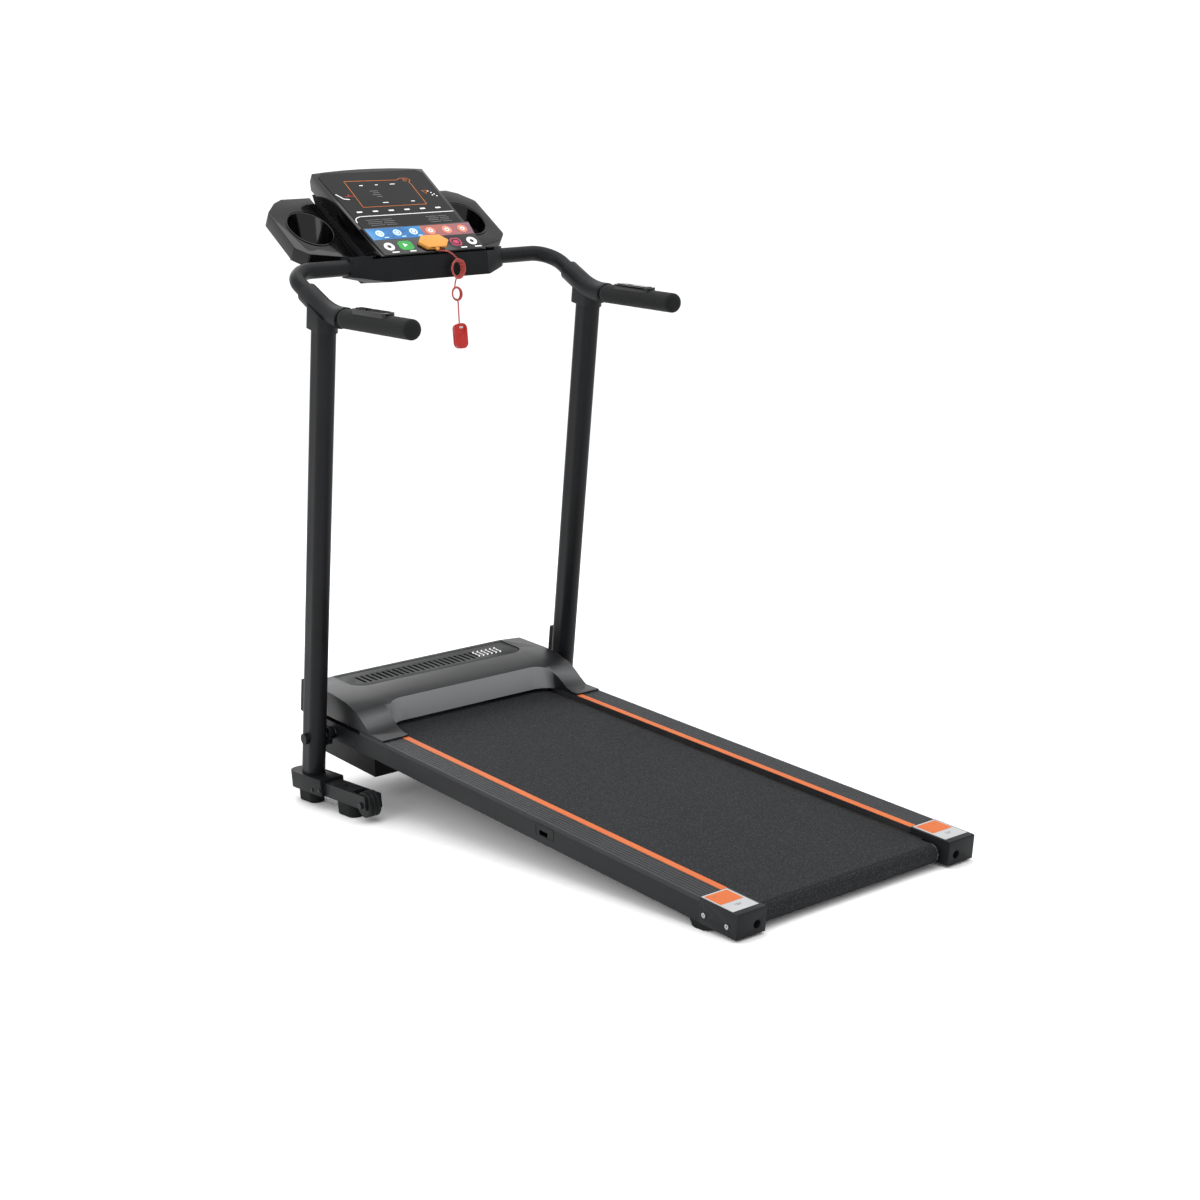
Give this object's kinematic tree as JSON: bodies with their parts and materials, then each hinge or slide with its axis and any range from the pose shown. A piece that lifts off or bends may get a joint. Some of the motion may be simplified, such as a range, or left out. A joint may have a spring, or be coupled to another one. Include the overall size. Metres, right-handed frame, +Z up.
{
  "type": "treadmill",
  "caption": "Folding home treadmill with a running deck hinged between two leaned uprights, a sloped console with cup trays, handlebars with foam grips and a safety key on a lanyard",
  "frame": {"origin": "on the floor, midway along and across the whole machine", "axes": "+Y forward from the rear of the belt to the console, +Z up, +X to the user's right"},
  "size_m": [0.712, 1.4498, 1.333],
  "materials": {
    "frame_paint": "satin charcoal powder coat",
    "rail_plastic": "grained grey moulding with grip ribs",
    "cap_plastic": "fine-grained black moulding",
    "hood_plastic": "satin mid-grey moulding",
    "vent_plastic": "satin dark grey moulding",
    "pan_plastic": "matt black moulding",
    "belt_fabric": "diamond-textured black belt",
    "deck_wood": "lacquered fibreboard",
    "zinc_steel": "zinc plated",
    "roller_steel": "turned steel",
    "motor_paint": "black enamel",
    "rubber_black": "soft black rubber",
    "wheel_plastic": "dark grey moulding",
    "circuit_green": "solder-masked circuit board",
    "grip_foam": "closed-cell foam",
    "console_black": "glossy black moulding",
    "console_matte": "fine-textured black moulding",
    "display_black": "glossy smoked overlay",
    "keypad_film": "printed membrane",
    "key_gloss": "glossy dark keys",
    "key_orange": "pale orange moulding",
    "cord_red": "braided red nylon",
    "clip_red": "glossy red moulding",
    "switch_black": "glossy black moulding"
  },
  "bodies": {
    "stand": {"upright_left": "frame_paint", "upright_right": "frame_paint", "base_foot_left": "frame_paint", "base_foot_right": "frame_paint", "foot_end_caps": "cap_plastic", "foot_pads": "rubber_black", "wheel_axles": "zinc_steel", "frame_bolts": "zinc_steel", "pivot_shaft": "zinc_steel", "upright_caps": "cap_plastic", "handlebar_left": "frame_paint", "handlebar_right": "frame_paint", "joint_cover_left": "cap_plastic", "joint_cover_right": "cap_plastic", "grip_left": "grip_foam", "grip_right": "grip_foam", "key_bezels": "key_gloss", "console_top_shell": "console_black", "console_base_shell": "console_matte", "cup_tray_left": "console_black", "cup_tray_right": "console_black", "display_panel": "display_black", "display_board": "circuit_green", "keypad_panel": "keypad_film", "console_bracket": "frame_paint"},
    "deck": {"side_frame_left": "frame_paint", "side_frame_right": "frame_paint", "foot_rail_left": "rail_plastic", "foot_rail_right": "rail_plastic", "rear_cap_left": "cap_plastic", "rear_cap_right": "cap_plastic", "deck_screws": "zinc_steel", "rear_feet": "rubber_black", "deck_board": "deck_wood", "cross_members": "frame_paint", "running_belt": "belt_fabric", "roller_axles": "zinc_steel", "motor": "motor_paint", "drive_belt": "rubber_black", "control_board": "circuit_green", "hood": "hood_plastic", "vent_panel": "vent_plastic", "belly_pan": "pan_plastic", "power_inlet": "switch_black"},
    "front_roller": {"front_roller": "roller_steel"},
    "rear_roller": {"rear_roller": "roller_steel"},
    "motor_pulley": {"motor_pulley": "roller_steel"},
    "rocker_switch": {"rocker_switch": "switch_black"},
    "lock_knob": {"lock_knob": "cap_plastic"},
    "wheel_left": {"wheel_left": "wheel_plastic"},
    "wheel_right": {"wheel_right": "wheel_plastic"},
    "grip_key_left_front": {"grip_key_left_front": "key_gloss"},
    "grip_key_left_rear": {"grip_key_left_rear": "key_gloss"},
    "grip_key_right_front": {"grip_key_right_front": "key_gloss"},
    "grip_key_right_rear": {"grip_key_right_rear": "key_gloss"},
    "safety_key": {"safety_key": "key_orange", "key_cord": "cord_red", "cord_tail": "cord_red", "cord_bundle": "cord_red", "cord_clip": "clip_red"}
  },
  "joints": [
    {"name": "deck_fold", "type": "hinge", "parent": "stand", "child": "deck", "pos_m": [0, 0.59398, 0.14799], "axis": [-1, 0, 0], "range_deg": [0, 80]},
    {"name": "front_roller_spin", "type": "hinge", "parent": "deck", "child": "front_roller", "pos_m": [0, 0.5327, 0.1448], "axis": [1, 0, 0], "continuous": true},
    {"name": "rear_roller_spin", "type": "hinge", "parent": "deck", "child": "rear_roller", "pos_m": [0, -0.68247, 0.02565], "axis": [1, 0, 0], "continuous": true},
    {"name": "motor_spin", "type": "hinge", "parent": "deck", "child": "motor_pulley", "pos_m": [0, 0.64614, 0.12537], "axis": [1, 0, 0], "continuous": true},
    {"name": "power_rocker", "type": "hinge", "parent": "deck", "child": "rocker_switch", "pos_m": [0.22, 0.69236, 0.14598], "axis": [1, 0, 0], "range_deg": [0, 14]},
    {"name": "lock_turn", "type": "hinge", "parent": "stand", "child": "lock_knob", "pos_m": [-0.297, 0.59398, 0.14799], "axis": [1, 0, 0], "range_deg": [0, 360]},
    {"name": "wheel_left_spin", "type": "hinge", "parent": "stand", "child": "wheel_left", "pos_m": [-0.326, 0.388, 0.038], "axis": [1, 0, 0], "continuous": true},
    {"name": "wheel_right_spin", "type": "hinge", "parent": "stand", "child": "wheel_right", "pos_m": [0.326, 0.388, 0.038], "axis": [1, 0, 0], "continuous": true},
    {"name": "grip_key_left_front_press", "type": "slide", "parent": "stand", "child": "grip_key_left_front", "axis": [0, 0.103, -0.9947], "range_m": [0, 0.0015], "stiffness_N_per_m": 900},
    {"name": "grip_key_left_rear_press", "type": "slide", "parent": "stand", "child": "grip_key_left_rear", "axis": [0, 0.103, -0.9947], "range_m": [0, 0.0015], "stiffness_N_per_m": 900},
    {"name": "grip_key_right_front_press", "type": "slide", "parent": "stand", "child": "grip_key_right_front", "axis": [0, 0.103, -0.9947], "range_m": [0, 0.0015], "stiffness_N_per_m": 900},
    {"name": "grip_key_right_rear_press", "type": "slide", "parent": "stand", "child": "grip_key_right_rear", "axis": [0, 0.103, -0.9947], "range_m": [0, 0.0015], "stiffness_N_per_m": 900},
    {"name": "key_pull", "type": "slide", "parent": "stand", "child": "safety_key", "axis": [0, -0.6749, 0.7379], "range_m": [0, 0.025]}
  ],
  "couplings": [
    {"joint": "rear_roller_spin", "follows": "front_roller_spin", "ratio": 1},
    {"joint": "motor_spin", "follows": "front_roller_spin", "ratio": 3.0968}
  ]
}
